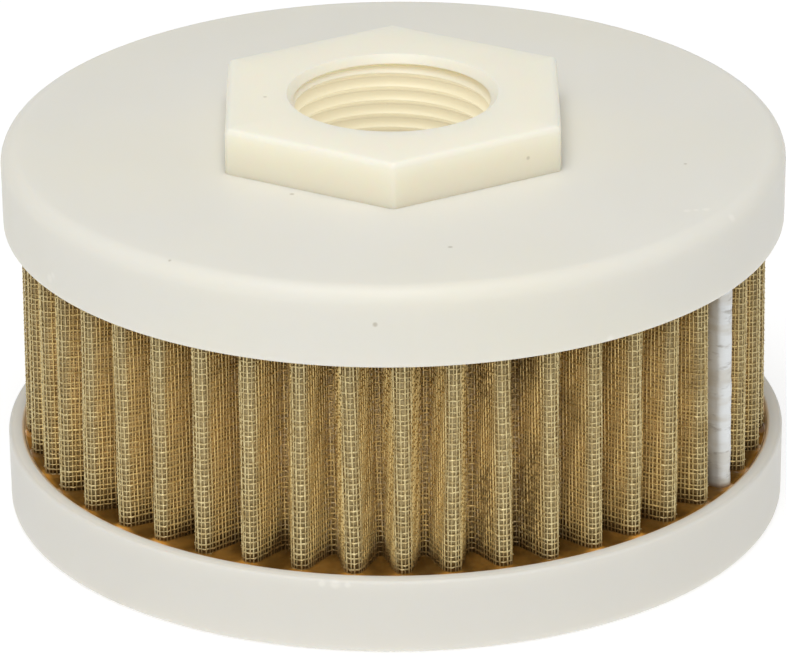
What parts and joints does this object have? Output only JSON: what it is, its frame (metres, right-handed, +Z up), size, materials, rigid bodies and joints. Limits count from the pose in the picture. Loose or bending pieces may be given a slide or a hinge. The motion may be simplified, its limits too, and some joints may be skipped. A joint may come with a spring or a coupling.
{
  "type": "hydraulic filter",
  "caption": "Round suction filter element: pleated wire cloth between two moulded end caps, with a hexagonal threaded port on top.",
  "frame": {"origin": "centre of the underside of the bottom cap", "axes": "+Z up along the port's axis, -Y towards the front, where one corner of the hexagon points"},
  "size_m": [0.097, 0.097, 0.0534],
  "materials": {
    "cap_plastic": "grey-white moulded nylon, half gloss",
    "fitting_plastic": "cream moulded nylon, half gloss",
    "support_cloth": "woven wire, bright",
    "filter_cloth": "fine woven wire, dull",
    "clip_metal": "folded sheet, bright and creased",
    "core_steel": "perforated sheet, dull plating",
    "resin": "cast amber resin, wet gloss"
  },
  "bodies": {
    "root": {"bottom_cap": "cap_plastic", "top_cap": "cap_plastic", "hex_port_fitting": "fitting_plastic", "outer_support_mesh": "support_cloth", "filter_mesh": "filter_cloth", "inner_support_mesh": "support_cloth", "seam_clip": "clip_metal", "perforated_core": "core_steel", "bottom_potting": "resin", "top_potting": "resin"}
  },
  "joints": []
}
